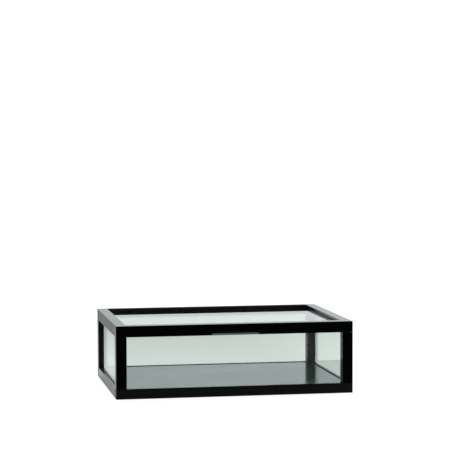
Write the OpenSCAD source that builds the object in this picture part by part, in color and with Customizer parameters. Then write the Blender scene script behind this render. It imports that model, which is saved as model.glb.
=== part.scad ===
// Glazed shadow box: a low display case in black-stained timber, with a glass
// pane on each side and one in the hinged lid.
// +Z is up and the front faces -Y. The origin is the centre of the footprint,
// on the surface that the case stands on.

/* [Case] */
// Overall width, left to right
case_w = 495; // [300:5:700]
// Overall depth, front to back
case_d = 350; // [220:5:500]
// Overall height with the lid closed
case_h = 150; // [110:5:260]

/* [Frame] */
// Width of every rail and post, seen from above
rail_w = 22; // [21:0.5:28]
// Height of the base rails
base_h = 21; // [20:0.5:30]
// Height of the lid rails
lid_h = 23; // [23:0.5:32]
// Gap between the closed lid and the posts
lid_gap = 0.4; // [0.3:0.1:0.6]
// Radius on the outer edges of the case
arris = 1; // [0.5:0.1:2]
// Radius on the edges around the panes
inner_arris = 0.6; // [0.2:0.1:1]
// Radius on the edges where rails and posts meet
joint_arris = 0.3; // [0.2:0.1:0.5]

/* [Glass] */
// Thickness of every pane
glass_t = 4; // [3:0.5:4]
// Distance of a side pane's outer face in from the outer face of the frame
glass_inset = 6; // [5.5:0.5:7.5]
// Depth that a pane goes into the timber
glass_seat = 4; // [3:0.5:4]
// Depth of the lid pane below the top of the lid
glass_drop = 6.5; // [5:0.5:8]
// Thickness of the black seal on each side of a pane, and under its edge
seal_t = 1.2; // [0.8:0.1:1.3]
// Depth of the seals below the faces of the timber
seal_sunk = 0.5; // [0.2:0.1:1]

/* [Floor panel] */
// Thickness of the floor panel
floor_t = 4; // [3:0.5:5]
// Depth of the floor panel's face below the top of the base rails
floor_drop = 1; // [1:0.5:2]
// Shadow gap between the panel and the seals
floor_gap = 1.7; // [0.5:0.1:2.5]
// Play of the panel on its ledge and against the posts
floor_play = 0.1; // [0.05:0.05:0.2]

/* [Finger groove] */
// Length of the groove in the front of the lid
groove_l = 100; // [60:5:140]
// Radius of the round-nosed cutter that makes it
groove_r = 4.5; // [4:0.5:5]
// Height of the cutter's centre above the underside of the lid
groove_up = 3.8; // [3.5:0.1:4.5]
// Distance of the cutter's centre in front of the lid
groove_out = 0.7; // [0.2:0.1:1.5]

/* [Hinges] */
// Length of a hinge along its pin
hinge_l = 13; // [12:0.5:13]
// Reach of a leaf forward from the pin
leaf_d = 11.5; // [11:0.5:11.5]
// Thickness of a leaf
leaf_t = 1; // [0.8:0.1:1.2]
// Outer radius of the knuckles
knuckle_r = 2; // [1.8:0.1:2.2]
// Radius of the hinge pin
pin_r = 0.9; // [0.7:0.1:1]
// Distance of the pin in from the back face
pin_inset = 3; // [3:0.5:4]
// Slope of the stop bevels on the back edges of lid and posts
stop_slope = 50; // [48:1:55]
// Length of a hinge screw
screw_l = 10; // [8:1:12]

/* [Dowels] */
// Radius of the dowels
dowel_r = 3; // [2.5:0.5:3]
// Length that a dowel goes into a cross rail
dowel_short = 9; // [7:0.5:9]
// Length that a dowel goes into a side rail or a post
dowel_long = 14; // [10:1:18]

/* [Hidden] */
$fn = 48;

black_stain = [0.05, 0.05, 0.055];
black_panel = [0.09, 0.09, 0.095];
clear_glass = [0.78, 0.88, 0.85, 0.35];
black_rubber = [0.03, 0.03, 0.03];
beech = [0.76, 0.6, 0.42];
nickel = [0.66, 0.65, 0.62];

// Half sizes of the footprint, and the inner faces of the frame
half_w = case_w / 2;
half_d = case_d / 2;
in_x = half_w - rail_w;
in_y = half_d - rail_w;
// Centre line of a rail or post
mid_x = half_w - rail_w / 2;
mid_y = half_d - rail_w / 2;
// Underside of the lid and top of the posts
lid_z = case_h - lid_h;
post_top = lid_z - lid_gap;
// Cutting tools run this far past the surface that they cut
over = 1;

// Play of a seal on its pane, and in its groove
glass_fit = 0.02;
seal_play = 0.05;

// Edges of the panes
pane_x = in_x + glass_seat;
pane_y = in_y + glass_seat;
pane_z = base_h - glass_seat;
pane_top_gap = 0.2;
pane_top = post_top - pane_top_gap;
lid_pane_top = case_h - glass_drop;
lid_pane_z = lid_pane_top - glass_t;

// Floor panel, and the distance of the side seals' inner faces from the outside
floor_top = base_h - floor_drop;
floor_z = floor_top - floor_t;
seal_in = glass_inset + glass_t + seal_t + seal_play;

// Hinge pin line, midway in the gap under the lid
pin_y = half_d - pin_inset;
pin_z = lid_z - lid_gap / 2;
// Free space round a knuckle, and between neighbouring knuckles
knuckle_play = 0.3;
knuckle_gap = 0.2;
pin_play = 0.04;
pin_fit = 0.01;
// Middle knuckle, on the lid leaf, and its two neighbours on the case leaf
lid_knuckle_share = 0.42;
lid_knuckle_l = hinge_l * lid_knuckle_share;
case_knuckle_l = (hinge_l - lid_knuckle_l) / 2 - knuckle_gap;
// Centre of a hinge: past the middle of the post, clear of the back pane's groove
hinge_past_mid = 2;
hinge_x = mid_x + hinge_past_mid;
// Both bevels start this far in front of the pin line
bevel_lead = 0.3;

// Hinge screws: distance to each side of the hinge's centre, and in front of the pin
screw_x = 3.6;
screw_ahead = 6;
screw_y = pin_y - screw_ahead;
screw_r = 1.2;
head_r = 1.9;
head_h = 0.9;
tip_h = 2.5;
tip_r = 0.4;
slot_w = 0.5;
slot_deep = 0.4;
screw_play = 0.05;

dowel_play = 0.02;
dowel_end_play = 0.5;
base_dowel_z = 7;
post_dowel_z = base_h - dowel_short;
lid_dowel_rise = 5.5;
lid_dowel_z = lid_z + lid_dowel_rise;

// ---------- shared shapes ----------

// Rectangle from the origin; one radius per corner, anticlockwise from there
module eased(size, radii) {
    corners = [[0, 0], [size.x, 0], size, [0, size.y]];
    difference() {
        square(size);
        for (i = [0:3])
            translate(corners[i])
                rotate(90 * i)
                    difference() {
                        translate([-over, -over]) square(radii[i] + over);
                        translate([radii[i], radii[i]]) circle(radii[i]);
                    }
    }
}

// Box from one corner to the other, grown by play on every side
module block(low, high, play = 0) {
    grow = [play, play, play];
    translate(low - grow)
        cube(high - low + 2 * grow);
}

// Bar along X or Y with an eased section, from z up
module bar_x(length, y, z, size, radii) {
    translate([-length / 2, y, z])
        rotate([90, 0, 90])
            linear_extrude(length) eased(size, radii);
}

module bar_y(length, x, z, size, radii) {
    translate([x, length / 2, z])
        rotate([90, 0, 0])
            linear_extrude(length) eased(size, radii);
}

// Outline of the whole case in a slice from z up, eased on every outer edge
module envelope(z, height, low_r, top_r) {
    radii = [low_r, low_r, top_r, top_r];
    intersection() {
        translate([-half_w, -half_d, z])
            linear_extrude(height)
                eased([case_w, case_d], [arris, arris, arris, arris]);
        bar_x(case_w, -half_d, z, [case_d, height], radii);
        bar_y(case_d, -half_w, z, [case_w, height], radii);
    }
}

module both_sides() {
    children();
    mirror([1, 0, 0]) children();
}

module front_and_back() {
    children();
    mirror([0, 1, 0]) children();
}

// ---------- panes, seals and panel ----------

module front_pane(play = 0, top = pane_top) {
    block([-pane_x, -half_d + glass_inset, pane_z],
          [pane_x, -half_d + glass_inset + glass_t, top], play);
}

module left_pane(play = 0, top = pane_top) {
    block([-half_w + glass_inset, -pane_y, pane_z],
          [-half_w + glass_inset + glass_t, pane_y, top], play);
}

module lid_pane(play = 0) {
    block([-pane_x, -pane_y, lid_pane_z], [pane_x, pane_y, lid_pane_top], play);
}

// Area inside the seals, this far in from them, notched at the corners for the posts
module floor_area(gap, play, low, high) {
    x = half_w - seal_in - gap;
    y = half_d - seal_in - gap;
    block([-x, -in_y + play, low], [x, in_y - play, high]);
    block([-in_x + play, -y, low], [in_x - play, y, high]);
}

module floor_board() floor_area(floor_gap, floor_play, floor_z, floor_top);

// Open above the panel, with a ledge underneath; it runs just into the grooves
module floor_rebate() floor_area(-floor_play, 0, floor_z - floor_play, base_h + over);

// A side seal is a U: it holds the pane at both ends and underneath, and is open on top.
// Its inner leg along the base ends level with the floor panel.
module front_seal() {
    difference() {
        front_pane(seal_t, pane_top - seal_t);
        front_pane(glass_fit, post_top);
        block([-in_x, -half_d, base_h], [in_x, -in_y, post_top], seal_sunk);
        block([-in_x, -half_d + glass_inset + glass_t / 2, floor_top + seal_sunk],
              [in_x, -in_y, base_h], seal_sunk);
    }
}

module left_seal() {
    difference() {
        left_pane(seal_t, pane_top - seal_t);
        left_pane(glass_fit, post_top);
        block([-half_w, -in_y, base_h], [-in_x, in_y, post_top], seal_sunk);
        block([-half_w + glass_inset + glass_t / 2, -in_y, floor_top + seal_sunk],
              [-in_x, in_y, base_h], seal_sunk);
    }
}

// The lid's seal runs all round its pane
module lid_seal() {
    difference() {
        lid_pane(seal_t);
        lid_pane(glass_fit);
        block([-in_x, -in_y, lid_z], [in_x, in_y, case_h], seal_sunk);
    }
}

// Grooves for the four side panes and their seals, open at the top of the posts
module pane_grooves() {
    front_and_back() front_pane(seal_t + seal_play, post_top + over);
    both_sides() left_pane(seal_t + seal_play, post_top + over);
}

module lid_groove() lid_pane(seal_t + seal_play);

// ---------- dowels ----------

module dowel(length, play) {
    end = play > 0 ? dowel_end_play : 0;
    translate([0, 0, -end])
        cylinder(h = length + 2 * end, r = dowel_r - dowel_play + play);
}

// One dowel along Y at each corner of a rail frame
module corner_dowels(z, play = 0) {
    front_and_back()
        both_sides()
            translate([-mid_x, -in_y - dowel_short, z])
                rotate([-90, 0, 0]) dowel(dowel_short + dowel_long, play);
}

// One upright dowel under each post
module upright_dowels(play = 0) {
    front_and_back()
        both_sides()
            translate([-mid_x, -mid_y, post_dowel_z])
                dowel(dowel_short + dowel_long, play);
}

// ---------- hinges ----------

// Everything below is for the left hinge; the right one is its mirror image

// Knuckles of one leaf along the pin: their starts and their length
module knuckles(starts, length, radius) {
    for (start = starts)
        translate([start - hinge_x - hinge_l / 2, pin_y, pin_z])
            rotate([0, 90, 0]) cylinder(h = length, r = radius);
}

case_starts = [0, hinge_l - case_knuckle_l];
lid_starts = [case_knuckle_l + knuckle_gap];

// Plate of a leaf, from z up, with tabs that reach back to its own knuckles
module leaf_plate(z, starts, length) {
    x = -hinge_x - hinge_l / 2;
    plate_back = pin_y - knuckle_r - knuckle_play;
    block([x, pin_y - leaf_d, z], [x + hinge_l, plate_back, z + leaf_t]);
    for (start = starts)
        block([x + start, plate_back - over, z], [x + start + length, pin_y, z + leaf_t]);
}

// Screws point down into the post, or up into the lid
module hinge_screw_sites(into_lid) {
    for (side = [-1, 1])
        translate([-hinge_x + side * screw_x, screw_y, into_lid ? lid_z : post_top])
            rotate([into_lid ? 0 : 180, 0, 0]) children();
}

// Countersunk screw pointing up, its head's face at the origin
module screw_solid(play = 0) {
    cylinder(h = head_h, r1 = head_r + play, r2 = screw_r + play);
    cylinder(h = screw_l - tip_h, r = screw_r + play);
    translate([0, 0, screw_l - tip_h])
        cylinder(h = tip_h, r1 = screw_r + play, r2 = play > 0 ? screw_r + play : tip_r);
}

module screw() {
    difference() {
        screw_solid();
        translate([-head_r, -slot_w / 2, -over]) cube([2 * head_r, slot_w, slot_deep + over]);
    }
}

module hinge_leaf(z, starts, length, bore_play, into_lid) {
    difference() {
        union() {
            leaf_plate(z, starts, length);
            knuckles(starts, length, knuckle_r);
        }
        knuckles([-over], hinge_l + 2 * over, pin_r + bore_play);
        hinge_screw_sites(into_lid) screw_solid(screw_play);
    }
}

module case_leaf() {
    hinge_leaf(post_top - leaf_t, case_starts, case_knuckle_l, pin_fit, false);
}

module lid_leaf() {
    hinge_leaf(lid_z, lid_starts, lid_knuckle_l, pin_play, true);
}

module hinge_pin() {
    knuckles([0], hinge_l, pin_r);
}

// Space that a hinge takes out of the timber: mortise, knuckles and screws
module hinge_cut(z_low, z_high, into_lid) {
    x = -hinge_x - hinge_l / 2;
    back = pin_y - knuckle_r;
    block([x - screw_play, pin_y - leaf_d - screw_play, z_low],
          [x + hinge_l + screw_play, back, z_high]);
    knuckles([-knuckle_play], hinge_l + 2 * knuckle_play, knuckle_r + knuckle_play);
    hinge_screw_sites(into_lid) screw_solid(screw_play);
}

// Stop bevel behind the pin line, sloping away from the parting plane
module stop_bevel(up) {
    reach = pin_inset + bevel_lead + over;
    rise = reach * tan(stop_slope);
    translate([-half_w - over, pin_y - bevel_lead, pin_z])
        mirror([0, 0, up ? 0 : 1])
            rotate([90, 0, 90])
                linear_extrude(case_w + 2 * over)
                    polygon([[0, 0], [reach, rise], [reach, -over], [0, -over]]);
}

// ---------- case timber ----------

base_radii = [arris, inner_arris, joint_arris, joint_arris];

module base_cuts() {
    pane_grooves();
    floor_rebate();
    corner_dowels(base_dowel_z, dowel_play);
    upright_dowels(dowel_play);
}

module base_cross_rail() {
    color(black_stain)
        difference() {
            intersection() {
                envelope(0, base_h, arris, joint_arris);
                bar_x(case_w, -half_d, 0, [rail_w, base_h], base_radii);
            }
            base_cuts();
        }
}

module base_side_rail() {
    color(black_stain)
        difference() {
            bar_y(2 * in_y, -half_w, 0, [rail_w, base_h], base_radii);
            base_cuts();
        }
}

module post() {
    radii = [arris, inner_arris, inner_arris, inner_arris];
    color(black_stain)
        difference() {
            translate([-half_w, -half_d, base_h])
                linear_extrude(post_top - base_h) eased([rail_w, rail_w], radii);
            pane_grooves();
            upright_dowels(dowel_play);
        }
}

module rear_post() {
    color(black_stain)
        difference() {
            mirror([0, 1, 0]) post();
            stop_bevel(false);
            hinge_cut(post_top - leaf_t, post_top + over, false);
        }
}

// ---------- lid timber ----------

lid_radii = [joint_arris, inner_arris, inner_arris, arris];

module lid_cross_rail() {
    difference() {
        intersection() {
            envelope(lid_z, lid_h, joint_arris, arris);
            bar_x(case_w, -half_d, lid_z, [rail_w, lid_h], lid_radii);
        }
        lid_groove();
        corner_dowels(lid_dowel_z, dowel_play);
    }
}

// Groove along the lower front edge, round at both ends, that gives the fingertips a hold
module finger_groove() {
    translate([0, -half_d - groove_out, lid_z + groove_up]) {
        rotate([0, 90, 0])
            cylinder(h = groove_l - 2 * groove_r, r = groove_r, center = true);
        both_sides()
            translate([groove_r - groove_l / 2, 0, 0]) sphere(groove_r);
    }
}

module lid_front() {
    color(black_stain)
        difference() {
            lid_cross_rail();
            finger_groove();
        }
}

module lid_back() {
    color(black_stain)
        difference() {
            mirror([0, 1, 0]) lid_cross_rail();
            stop_bevel(true);
            both_sides() hinge_cut(lid_z - over, lid_z + leaf_t, true);
        }
}

module lid_side_rail() {
    color(black_stain)
        difference() {
            bar_y(2 * in_y, -half_w, lid_z, [rail_w, lid_h], lid_radii);
            lid_groove();
            corner_dowels(lid_dowel_z, dowel_play);
        }
}

// ---------- nodes ----------

module base_rail_front() base_cross_rail();
module base_rail_back() mirror([0, 1, 0]) base_cross_rail();
module base_rail_left() base_side_rail();
module base_rail_right() mirror([1, 0, 0]) base_side_rail();
module floor_panel() color(black_panel) floor_board();

module post_front_left() post();
module post_front_right() mirror([1, 0, 0]) post();
module post_rear_left() rear_post();
module post_rear_right() mirror([1, 0, 0]) rear_post();

module glass_front() color(clear_glass) front_pane();
module glass_back() color(clear_glass) mirror([0, 1, 0]) front_pane();
module glass_left() color(clear_glass) left_pane();
module glass_right() color(clear_glass) mirror([1, 0, 0]) left_pane();

module seal_front() color(black_rubber) front_seal();
module seal_back() color(black_rubber) mirror([0, 1, 0]) front_seal();
module seal_left() color(black_rubber) left_seal();
module seal_right() color(black_rubber) mirror([1, 0, 0]) left_seal();

module base_dowels() color(beech) corner_dowels(base_dowel_z);
module post_dowels() color(beech) upright_dowels();

module hinge_leaf_case_left() color(nickel) case_leaf();
module hinge_leaf_case_right() color(nickel) mirror([1, 0, 0]) case_leaf();
module hinge_pin_left() color(nickel) hinge_pin();
module hinge_pin_right() color(nickel) mirror([1, 0, 0]) hinge_pin();
module hinge_screws_case() color(nickel) both_sides() hinge_screw_sites(false) screw();

module lid_rail_front() lid_front();
module lid_rail_back() lid_back();
module lid_rail_left() lid_side_rail();
module lid_rail_right() mirror([1, 0, 0]) lid_side_rail();

module glass_lid() color(clear_glass) lid_pane();
module seal_lid() color(black_rubber) lid_seal();
module lid_dowels() color(beech) corner_dowels(lid_dowel_z);
module hinge_leaf_lid_left() color(nickel) lid_leaf();
module hinge_leaf_lid_right() color(nickel) mirror([1, 0, 0]) lid_leaf();
module hinge_screws_lid() color(nickel) both_sides() hinge_screw_sites(true) screw();

base_rail_front();
base_rail_back();
base_rail_left();
base_rail_right();
floor_panel();
post_front_left();
post_front_right();
post_rear_left();
post_rear_right();
glass_front();
glass_back();
glass_left();
glass_right();
seal_front();
seal_back();
seal_left();
seal_right();
base_dowels();
post_dowels();
hinge_leaf_case_left();
hinge_leaf_case_right();
hinge_pin_left();
hinge_pin_right();
hinge_screws_case();
lid_rail_front();
lid_rail_back();
lid_rail_left();
lid_rail_right();
glass_lid();
seal_lid();
lid_dowels();
hinge_leaf_lid_left();
hinge_leaf_lid_right();
hinge_screws_lid();
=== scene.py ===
"""Looks for the glazed shadow box: black-stained timber, clear panes, plated hinges, studio and camera."""
import math

import bpy
from mathutils import Matrix, Vector


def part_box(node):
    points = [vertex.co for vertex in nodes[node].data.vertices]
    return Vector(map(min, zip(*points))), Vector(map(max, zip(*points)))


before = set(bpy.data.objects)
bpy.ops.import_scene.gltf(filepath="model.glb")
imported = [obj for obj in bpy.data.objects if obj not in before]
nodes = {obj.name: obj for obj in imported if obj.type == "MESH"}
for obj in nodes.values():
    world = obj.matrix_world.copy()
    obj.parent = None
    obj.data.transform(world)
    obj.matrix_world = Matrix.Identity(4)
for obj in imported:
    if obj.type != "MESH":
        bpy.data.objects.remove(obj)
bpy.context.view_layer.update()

MM = 0.001

# ---------- camera ----------

CAMERA_AT = Vector((-0.6654, -3.7347, 0.5640))
CAMERA_YAW, CAMERA_PITCH, CAMERA_ROLL = 10.246, 3.335, -0.142
LENS_MM, SENSOR_MM = 141.85, 36.0


def make_camera():
    """Looks along +Y, turned right by the yaw and down by the pitch."""
    yaw, pitch, roll = (math.radians(a) for a in (CAMERA_YAW, CAMERA_PITCH, CAMERA_ROLL))
    ahead = Vector((math.sin(yaw) * math.cos(pitch), math.cos(yaw) * math.cos(pitch), -math.sin(pitch)))
    level = Vector((math.cos(yaw), -math.sin(yaw), 0))
    above = level.cross(ahead)
    right = math.cos(roll) * level + math.sin(roll) * above
    up = right.cross(ahead)
    data = bpy.data.cameras.new("camera")
    data.lens, data.sensor_width = LENS_MM, SENSOR_MM
    camera = bpy.data.objects.new("camera", data)
    camera.matrix_world = Matrix.Translation(CAMERA_AT) @ Matrix((right, up, -ahead)).transposed().to_4x4()
    bpy.context.scene.collection.objects.link(camera)
    bpy.context.scene.camera = camera


# ---------- node helpers ----------

class Nodes:
    """A short way to build one material's node tree."""

    def __init__(self, tree):
        self.tree = tree

    def add(self, kind, inputs=None, **settings):
        node = self.tree.nodes.new(kind)
        for name, value in settings.items():
            setattr(node, name, value)
        for key, value in (inputs or {}).items():
            self.put(node.inputs[key], value)
        return node

    def put(self, socket, value):
        if isinstance(value, bpy.types.NodeSocket):
            self.tree.links.new(value, socket)
        else:
            socket.default_value = value

    def noise(self, vector, scale, detail=3.0, roughness=0.5, distortion=0.0):
        inputs = {"Vector": vector, "Scale": scale, "Detail": detail, "Roughness": roughness,
                  "Distortion": distortion}
        return self.add("ShaderNodeTexNoise", inputs).outputs["Fac"]

    def ramp(self, value, low, high, to_low=0.0, to_high=1.0):
        inputs = {"Value": value, "From Min": low, "From Max": high, "To Min": to_low, "To Max": to_high}
        return self.add("ShaderNodeMapRange", inputs, interpolation_type="SMOOTHSTEP").outputs["Result"]

    def math(self, operation, a, b):
        return self.add("ShaderNodeMath", {0: a, 1: b}, operation=operation).outputs[0]

    def mix(self, factor, a, b):
        node = self.add("ShaderNodeMix", data_type="RGBA")
        self.put(node.inputs["Factor"], factor)
        self.put(node.inputs["A"], a)
        self.put(node.inputs["B"], b)
        return node.outputs["Result"]

    def bump(self, height, depth, normal=None):
        inputs = {"Height": height, "Strength": 1.0, "Distance": depth}
        if normal is not None:
            inputs["Normal"] = normal
        return self.add("ShaderNodeBump", inputs).outputs["Normal"]


def new_material(name):
    material = bpy.data.materials.new(name)
    material.use_nodes = True
    tree = material.node_tree
    tree.nodes.clear()
    kit = Nodes(tree)
    shader = kit.add("ShaderNodeBsdfPrincipled")
    output = kit.add("ShaderNodeOutputMaterial")
    tree.links.new(shader.outputs["BSDF"], output.inputs["Surface"])
    return material, kit, shader, output


def rgba(red, green, blue):
    return (red, green, blue, 1.0)


# ---------- materials ----------

STAIN_DARK, STAIN_LIGHT = rgba(0.0003, 0.0003, 0.0005), rgba(0.0016, 0.0015, 0.0019)
# Stain in open pores, then a painted highlight: the light grey where the finger groove's lower lip catches
# light
STAIN_PORE, GROOVE_HIGHLIGHT_GREY = rgba(0.0060, 0.0054, 0.0050), rgba(0.24, 0.24, 0.24)

# Painted grey highlight and matt areas of the timber: width of their soft borders, and the matt lacquer's
# surface
HIGHLIGHT_BORDER, DULL_BORDER = 0.3 * MM, 0.1 * MM
FULL_SPECULAR, DULL_SPECULAR, DULL_ROUGHNESS = 0.5, 0.03, 0.8

# Turns that lay a noise's X axis along the grain
GRAIN_TURN = {"x": (0, 0, 0), "y": (0, 0, math.pi / 2), "z": (0, math.pi / 2, 0)}


def grain_space(kit, along, seed):
    """Coordinates in metres whose X runs along the grain, shifted so that each piece has its own grain."""
    place = kit.add("ShaderNodeTexCoord").outputs["Object"]
    shift = (seed * 1.37, seed * 0.53, seed * 0.91)
    inputs = {"Vector": place, "Location": shift, "Rotation": GRAIN_TURN[along]}
    return kit.add("ShaderNodeMapping", inputs).outputs["Vector"]


def stretched(kit, space, along, across):
    """Scales a grain space: cycles per metre along and across the grain."""
    inputs = {"Vector": space, "Scale": (along, across, across)}
    return kit.add("ShaderNodeMapping", inputs).outputs["Vector"]


def inside(kit, low, high, soft):
    """1 inside a box in the piece's own coordinates, 0 outside, with soft borders."""
    place = kit.add("ShaderNodeTexCoord").outputs["Object"]
    axes = kit.add("ShaderNodeSeparateXYZ", {0: place}).outputs
    mask = 1.0
    for axis in range(3):
        above = kit.ramp(axes[axis], low[axis] - soft, low[axis] + soft)
        below = kit.ramp(axes[axis], high[axis] - soft, high[axis] + soft, 1.0, 0.0)
        mask = kit.math("MULTIPLY", mask, kit.math("MULTIPLY", above, below))
    return mask


def stained_wood(name, along, seed, painted_shine, rough_span, painted_highlight=None, dull=None):
    """Open-grained timber under black stain and satin lacquer.

    The head-on shine scales the mirror-like part seen head-on; it is painted light and shade, set piece by
    piece.
    The two boxes (low, high) are a painted highlight, where the stain turns grey, and a matt area, where
    the lacquer is matt.
    """
    material, kit, shader, _ = new_material(name)
    space = grain_space(kit, along, seed)
    rings = kit.noise(stretched(kit, space, 5, 210), 1.0, 3, 0.6, 0.4)
    pores = kit.noise(stretched(kit, space, 110, 2100), 1.0, 2, 0.55)
    fibres = kit.noise(stretched(kit, space, 260, 5200), 1.0, 2, 0.6)
    cloud = kit.noise(space, 22.0, 3, 0.55)
    open_pore = kit.ramp(pores, 0.56, 0.70)
    tone = kit.math("MULTIPLY", kit.ramp(rings, 0.3, 0.7, 0.35, 1.0), kit.ramp(cloud, 0.25, 0.75, 0.6, 1.0))
    colour = kit.mix(tone, STAIN_DARK, STAIN_LIGHT)
    colour = kit.mix(kit.math("MULTIPLY", open_pore, 0.6), colour, STAIN_PORE)
    rough = kit.math("ADD", kit.ramp(fibres, 0.3, 0.7, *rough_span), kit.math("MULTIPLY", open_pore, 0.18))
    # Painted highlight: inside the box the stain turns light grey, where the groove's lip catches light
    if painted_highlight:
        highlight_mask = kit.math("MULTIPLY", inside(kit, *painted_highlight, HIGHLIGHT_BORDER), kit.ramp(cloud, 0.2, 0.6, 0.85, 1.0))
        colour = kit.mix(highlight_mask, colour, GROOVE_HIGHLIGHT_GREY)
    if dull:
        matt = inside(kit, *dull, DULL_BORDER)
        rough = kit.math("MAXIMUM", rough, kit.math("MULTIPLY", matt, DULL_ROUGHNESS))
        kit.put(shader.inputs["Specular IOR Level"], kit.ramp(matt, 0.0, 1.0, FULL_SPECULAR, DULL_SPECULAR))
    fine = kit.bump(fibres, 0.006 * MM)
    relief = kit.math("SUBTRACT", kit.math("MULTIPLY", rings, 0.35), open_pore)
    kit.put(shader.inputs["Base Color"], colour)
    kit.put(shader.inputs["Roughness"], rough)
    kit.put(shader.inputs["Normal"], kit.bump(relief, 0.03 * MM, fine))
    shader.inputs["IOR"].default_value = 1.5
    # Painted light and shade: the head-on shine is set piece by piece through the specular tint
    shader.inputs["Specular Tint"].default_value = rgba(painted_shine, painted_shine, painted_shine)
    return material


# Film on the floor panel: its colour, and the panel's specular level under it
FILM_THIN, FILM_THICK = rgba(0.002, 0.030, 0.024), rgba(0.022, 0.066, 0.054)
THIN_SPECULAR, THICK_SPECULAR = 0.62, 0.2


def lacquered_panel(name):
    """Smooth black lacquer over a veneered board, under a thin film that follows the veneer's grain."""
    material, kit, shader, _ = new_material(name)
    space = grain_space(kit, "x", 3.1)
    grain = kit.noise(stretched(kit, space, 6, 60), 1.0, 4, 0.65, 0.3)
    film = kit.ramp(kit.noise(stretched(kit, space, 5, 48), 1.0, 5, 0.7, 0.3), 0.3, 0.7)
    orange_peel = kit.noise(space, 300.0, 2)
    dust = kit.noise(space, 45.0, 4, 0.65)
    kit.put(shader.inputs["Base Color"], kit.mix(film, FILM_THIN, FILM_THICK))
    rough = kit.math("ADD", kit.ramp(dust, 0.3, 0.75, 0.04, 0.09), kit.math("MULTIPLY", film, 0.06))
    kit.put(shader.inputs["Roughness"], rough)
    height = kit.math("ADD", kit.math("MULTIPLY", grain, 0.6), kit.math("MULTIPLY", orange_peel, 0.12))
    waves = kit.bump(film, 0.03 * MM)
    kit.put(shader.inputs["Normal"], kit.bump(height, 0.006 * MM, waves))
    kit.put(shader.inputs["Specular IOR Level"], kit.ramp(film, 0.0, 1.0, THIN_SPECULAR, THICK_SPECULAR))
    shader.inputs["IOR"].default_value = 1.7
    return material


def pane_glass(name, colour):
    """Clear float glass with a slight green cast and faint smears."""
    material, kit, shader, output = new_material(name)
    place = kit.add("ShaderNodeTexCoord").outputs["Object"]
    smear = kit.noise(place, 14.0, 4, 0.6, 0.8)
    kit.put(shader.inputs["Roughness"], kit.ramp(smear, 0.5, 0.85, 0.0, 0.02))
    shader.inputs["Base Color"].default_value = colour
    shader.inputs["Transmission Weight"].default_value = 1.0
    shader.inputs["IOR"].default_value = 1.45
    volume = kit.add("ShaderNodeVolumeAbsorption", {"Color": rgba(0.35, 0.75, 0.6), "Density": 8.0})
    kit.tree.links.new(volume.outputs["Volume"], output.inputs["Volume"])
    return material


def seal_rubber(name):
    """Matt black glazing rubber with a faint mould texture and a little dust."""
    material, kit, shader, _ = new_material(name)
    place = kit.add("ShaderNodeTexCoord").outputs["Object"]
    mould = kit.noise(place, 1800.0, 3, 0.6)
    dust = kit.noise(place, 60.0, 4, 0.6)
    colour = kit.mix(dust, rgba(0.002, 0.002, 0.002), rgba(0.007, 0.007, 0.0065))
    kit.put(shader.inputs["Base Color"], colour)
    kit.put(shader.inputs["Roughness"], kit.ramp(mould, 0.3, 0.7, 0.62, 0.78))
    kit.put(shader.inputs["Normal"], kit.bump(mould, 0.01 * MM))
    shader.inputs["Specular IOR Level"].default_value = 0.2
    return material


def plated_metal(name):
    """Nickel plating over brushed steel, a little dull in patches."""
    material, kit, shader, _ = new_material(name)
    space = grain_space(kit, "x", 5.7)
    brushing = kit.noise(stretched(kit, space, 300, 9000), 1.0, 2, 0.6)
    tarnish = kit.noise(space, 180.0, 4, 0.6)
    kit.put(shader.inputs["Base Color"], kit.mix(tarnish, rgba(0.62, 0.60, 0.56), rgba(0.42, 0.40, 0.37)))
    kit.put(shader.inputs["Roughness"], kit.ramp(tarnish, 0.3, 0.7, 0.22, 0.38))
    kit.put(shader.inputs["Normal"], kit.bump(brushing, 0.002 * MM))
    shader.inputs["Metallic"].default_value = 1.0
    return material


def raw_beech(name, along):
    """Unfinished dowel wood with short dark flecks."""
    material, kit, shader, _ = new_material(name)
    space = grain_space(kit, along, 7.9)
    grain = kit.noise(stretched(kit, space, 12, 900), 1.0, 3, 0.6)
    flecks = kit.ramp(kit.noise(stretched(kit, space, 450, 2600), 1.0, 1), 0.6, 0.7)
    colour = kit.mix(grain, rgba(0.64, 0.44, 0.27), rgba(0.50, 0.32, 0.18))
    colour = kit.mix(kit.math("MULTIPLY", flecks, 0.5), colour, rgba(0.3, 0.16, 0.08))
    kit.put(shader.inputs["Base Color"], colour)
    kit.put(shader.inputs["Roughness"], kit.ramp(grain, 0.3, 0.7, 0.6, 0.75))
    kit.put(shader.inputs["Normal"], kit.bump(grain, 0.02 * MM))
    return material


# ---------- finish on the CAD pieces ----------

# Lacquer: shine head-on, and the span of its roughness; single pieces that differ are listed below. The
# shine is painted light and shade: low on the front pieces, higher on the rear and side pieces.
FRONT_SHADED_LACQUER, REAR_LIT_LACQUER, SIDE_LIT_LACQUER = (0.04, (0.13, 0.20)), (0.6, (0.28, 0.37)), (0.6, (0.17, 0.25))
SHINE_AND_ROUGHNESS_BY_PIECE = {
    "base_rail_front": (0.2, (0.28, 0.37)),
    "lid_rail_right": (0.9, (0.17, 0.25)),
    "lid_rail_left": (0.6, (0.19, 0.28)),
    "post_front_left": (0.03, (0.15, 0.22)),
    "post_rear_right": (1.0, (0.20, 0.28)),
}

# Painted highlight, a grey strip low in the finger groove: half its length, where it starts and ends
# inwards, and its height
GROOVE_HALF, GROOVE_START, GROOVE_IN, GROOVE_UP = 49 * MM, 0.5 * MM, 4.2 * MM, 3.5 * MM
# Matt part of the rear lid rail reaches this far down from its top
MATT_DEPTH = 0.4 * MM
# Points of a mesh that are nearer than this are joined
SAME_POINT = 0.01 * MM
# Width of the bevel ground on a pane's edges
GROUND_EDGE = 0.4 * MM
# The lid's pane is a little darker than the side panes
SIDE_GLASS, LID_GLASS = rgba(0.92, 0.94, 0.938), rgba(0.80, 0.825, 0.82)


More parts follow.
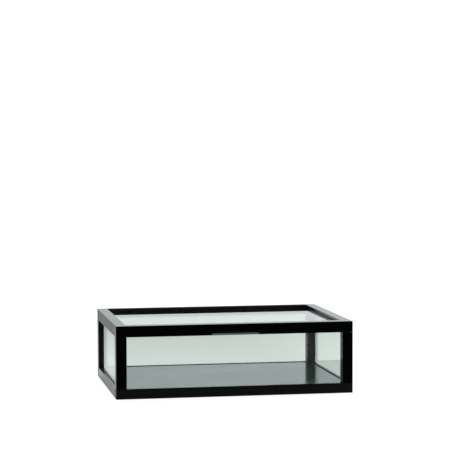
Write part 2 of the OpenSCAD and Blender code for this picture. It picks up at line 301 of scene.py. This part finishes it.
def longest_axis(node):
    low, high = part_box(node)
    size = high - low
    return "xyz"[max(range(3), key=lambda axis: size[axis])]


def paint(node, material):
    piece = nodes[node]
    piece.material_slots[0].material = material


def own_box(node):
    """Corners of a piece in its own coordinates."""
    corners = [Vector(c) for c in nodes[node].bound_box]
    return [Vector(pick(c[axis] for c in corners) for axis in range(3)) for pick in (min, max)]


def groove_box():
    """Lower half of the finger groove, which gets a painted highlight."""
    low, high = own_box("lid_rail_front")
    middle = (low.x + high.x) / 2
    return (Vector((middle - GROOVE_HALF, low.y + GROOVE_START, low.z - MM)),
            Vector((middle + GROOVE_HALF, low.y + GROOVE_IN, low.z + GROOVE_UP)))


def rear_top_box():
    """Top of the rear lid rail, between the side rails."""
    low, high = own_box("lid_rail_back")
    side = high.y - low.y
    return (Vector((low.x + side, low.y - MM, high.z - MATT_DEPTH)),
            Vector((high.x - side, high.y + MM, high.z + MM)))


def finish_timber():
    """Each piece of timber has its own grain, and the lacquer of its side or its own entry, whose head-on
    shine is painted light and shade.
    """
    timber = sorted(n for n in nodes if "rail" in n or n.startswith(("post_front", "post_rear")))
    for index, node in enumerate(timber):
        by_side = FRONT_SHADED_LACQUER if "front" in node else REAR_LIT_LACQUER if "back" in node else SIDE_LIT_LACQUER
        painted_shine, rough_span = SHINE_AND_ROUGHNESS_BY_PIECE.get(node, by_side)
        # The front lid rail's finger groove gets a painted highlight
        painted_highlight = groove_box() if node == "lid_rail_front" else None
        dull = rear_top_box() if node == "lid_rail_back" else None
        paint(node, stained_wood("stained_" + node, longest_axis(node), 1.0 + index, painted_shine, rough_span,
                                 painted_highlight, dull))


def join_corners(node):
    """Joins corners of the mesh that lie on one point."""
    weld = nodes[node].modifiers.new("join_corners", "WELD")
    weld.merge_threshold = SAME_POINT


def ease_glass_edges(node):
    """The panes have ground arrises: join the box's split corners, then bevel them."""
    join_corners(node)
    bevel = nodes[node].modifiers.new("ground_edges", "BEVEL")
    bevel.width, bevel.segments, bevel.limit_method = GROUND_EDGE, 1, "ANGLE"


def finish_rest():
    join_corners("lid_rail_front")
    side_glass, lid_glass = pane_glass("side_glass", SIDE_GLASS), pane_glass("lid_glass", LID_GLASS)
    metal = plated_metal("plated_metal")
    rubber = seal_rubber("seal_rubber")
    for node in nodes:
        if node.startswith("glass"):
            paint(node, lid_glass if node == "glass_lid" else side_glass)
            ease_glass_edges(node)
        elif node.startswith("seal"):
            paint(node, rubber)
        elif node.startswith("hinge"):
            paint(node, metal)
    paint("floor_panel", lacquered_panel("lacquered_panel"))
    for node in ("base_dowels", "lid_dowels"):
        paint(node, raw_beech("raw_beech_" + node, "y"))
    paint("post_dowels", raw_beech("raw_beech_posts", "z"))


# ---------- studio ----------

# Floor and backdrop as the camera sees them, and as reflections and rays through glass meet them
SHOWN_FLOOR_GLOW, SHOWN_FLOOR_ALBEDO = 0.86, 0.22
FLOOR_GLOW, FLOOR_ALBEDO = 0.39, 0.39
SHOWN_SKY = 1.02
FLOOR_TINT, SKY_TINT = (0.965, 1.0, 0.935), (0.955, 1.0, 1.02)
# Lit floor near the case: axis, start and end in metres, and its share of the light at both
FLOOR_SHADES = (
    ("X", -0.75, -0.2, 0.3, 1.0),
    ("Y", -0.45, -0.18, 0.22, 1.0),
    ("Y", 0.1, 1.3, 1.0, 0.76),
    ("X", 0.15, 0.5, 1.0, 1.17),
)
# Far from the case it evens out towards the sky's brightness, and behind the case to its colour
FAR_BEHIND, FAR_AHEAD, FAR_AHEAD_PART, FAR_SHARE = (1.7, 5.0), (-2.6, -1.4), 0.9, 0.905
FAR_TINT = (0.972, 1.0, 1.013)
FLOOR_HALF = 30.0

# Lit dome, by the way's height: light at the horizon and low down, and what is added overhead
HORIZON_LIGHT, LOW_SKY_LIGHT, OVERHEAD_LIGHT = 0.91, 0.79, 2.35
LOW_SKY, HIGH_SKY = (0.130, 0.158), (0.15, 0.45)
# Start and end of the way's Y and X, and the dome's share of the light at both
DOME_BEHIND, DOME_RIGHT = (-0.4, 0.6, 0.25, 1.0), (-0.6, 0.3, 0.45, 1.07)


def camera_switch(kit, lit, shown):
    """The camera sees one shader, all other rays meet the other."""
    seen = kit.add("ShaderNodeLightPath").outputs["Is Camera Ray"]
    return kit.add("ShaderNodeMixShader", {0: seen, 1: lit, 2: shown}).outputs[0]


def glowing(kit, albedo, tint, glow):
    diffuse = kit.add("ShaderNodeBsdfDiffuse", {"Color": albedo}).outputs[0]
    emission = kit.add("ShaderNodeEmission", {"Color": tint, "Strength": glow}).outputs[0]
    return kit.add("ShaderNodeAddShader", {0: diffuse, 1: emission}).outputs[0]


def make_floor():
    mesh = bpy.data.meshes.new("studio_floor")
    half = FLOOR_HALF
    corners = [(-half, -half, 0), (half, -half, 0), (half, half, 0), (-half, half, 0)]
    mesh.from_pydata(corners, [], [(0, 1, 2, 3)])
    floor = bpy.data.objects.new("studio_floor", mesh)
    bpy.context.scene.collection.objects.link(floor)
    material = bpy.data.materials.new("pale_floor")
    material.use_nodes = True
    material.node_tree.nodes.clear()
    kit = Nodes(material.node_tree)
    place = kit.add("ShaderNodeSeparateXYZ", {0: kit.add("ShaderNodeTexCoord").outputs["Object"]}).outputs
    near = 1.0
    for axis, *span in FLOOR_SHADES:
        near = kit.math("MULTIPLY", near, kit.ramp(place[axis], *span))
    far_behind = kit.ramp(place["Y"], *FAR_BEHIND, 0.0, 1.0)
    far_ahead = kit.ramp(place["Y"], *FAR_AHEAD, FAR_AHEAD_PART, 0.0)
    far = kit.math("ADD", far_behind, far_ahead)
    share = kit.math("ADD", near, kit.math("MULTIPLY", far, kit.math("SUBTRACT", FAR_SHARE, near)))
    tint = kit.mix(far_behind, rgba(*FLOOR_TINT), rgba(*FAR_TINT))
    lit = glowing(kit, kit.mix(kit.math("MULTIPLY", share, FLOOR_ALBEDO), rgba(0, 0, 0), tint), tint,
                  kit.math("MULTIPLY", share, FLOOR_GLOW))
    shown = glowing(kit, rgba(SHOWN_FLOOR_ALBEDO, SHOWN_FLOOR_ALBEDO, SHOWN_FLOOR_ALBEDO), rgba(1, 1, 1),
                    SHOWN_FLOOR_GLOW)
    output = kit.add("ShaderNodeOutputMaterial")
    kit.tree.links.new(camera_switch(kit, lit, shown), output.inputs["Surface"])
    mesh.materials.append(material)


def make_light():
    """A dome, white to the camera; for all other rays bright overhead and dim to the front and left."""
    world = bpy.data.worlds.new("studio")
    bpy.context.scene.world = world
    world.use_nodes = True
    kit = Nodes(world.node_tree)
    world.node_tree.nodes.clear()
    way = kit.add("ShaderNodeTexCoord").outputs["Generated"]
    axes = kit.add("ShaderNodeSeparateXYZ", {0: way}).outputs
    low = kit.ramp(axes["Z"], *LOW_SKY, HORIZON_LIGHT, LOW_SKY_LIGHT)
    high = kit.ramp(axes["Z"], *HIGH_SKY, 0.0, OVERHEAD_LIGHT)
    behind, from_right = kit.ramp(axes["Y"], *DOME_BEHIND), kit.ramp(axes["X"], *DOME_RIGHT)
    strength = kit.math("MULTIPLY", kit.math("MULTIPLY", kit.math("ADD", low, high), behind), from_right)
    lit = kit.add("ShaderNodeBackground", {"Color": rgba(*SKY_TINT), "Strength": strength}).outputs[0]
    shown = kit.add("ShaderNodeBackground", {"Color": rgba(1, 1, 1), "Strength": SHOWN_SKY}).outputs[0]
    output = kit.add("ShaderNodeOutputWorld")
    world.node_tree.links.new(camera_switch(kit, lit, shown), output.inputs["Surface"])
    bpy.context.scene.view_settings.view_transform = "Standard"


make_camera()
finish_timber()
finish_rest()
make_floor()
make_light()
